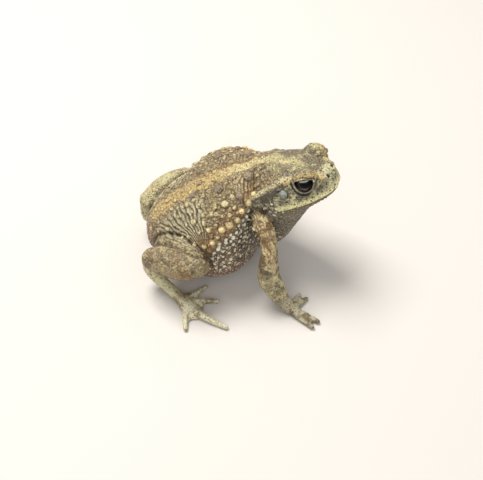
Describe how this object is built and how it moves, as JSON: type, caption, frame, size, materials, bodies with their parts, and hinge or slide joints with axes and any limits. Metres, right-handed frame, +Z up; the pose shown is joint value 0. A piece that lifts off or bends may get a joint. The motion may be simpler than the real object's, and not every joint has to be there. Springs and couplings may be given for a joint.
{
  "type": "miyako toad",
  "caption": "Life-size still model of a warty toad sitting upright on straight forelegs, belly and folded hind legs on the floor, head turned to its right.",
  "frame": {"origin": "on the floor below the centre of the box round the toad", "axes": "+X the way the body faces, +Y the toad's left, +Z up"},
  "size_m": [0.058, 0.0624, 0.0407],
  "materials": {
    "skin": "matte, granular and slightly moist",
    "eyeball": "wet gloss",
    "eardrum": "smooth satin"
  },
  "bodies": {
    "root": {"torso": "skin", "head": "skin", "eye_right": "eyeball", "tympanum_right": "eardrum", "parotoid_right": "skin", "upper_arm_right": "skin", "forearm_right": "skin", "hand_right": "skin", "thigh_right": "skin", "shank_right": "skin", "tarsus_right": "skin", "foot_right": "skin", "eye_left": "eyeball", "tympanum_left": "eardrum", "parotoid_left": "skin", "upper_arm_left": "skin", "forearm_left": "skin", "hand_left": "skin", "thigh_left": "skin", "shank_left": "skin", "tarsus_left": "skin", "foot_left": "skin"}
  },
  "joints": []
}
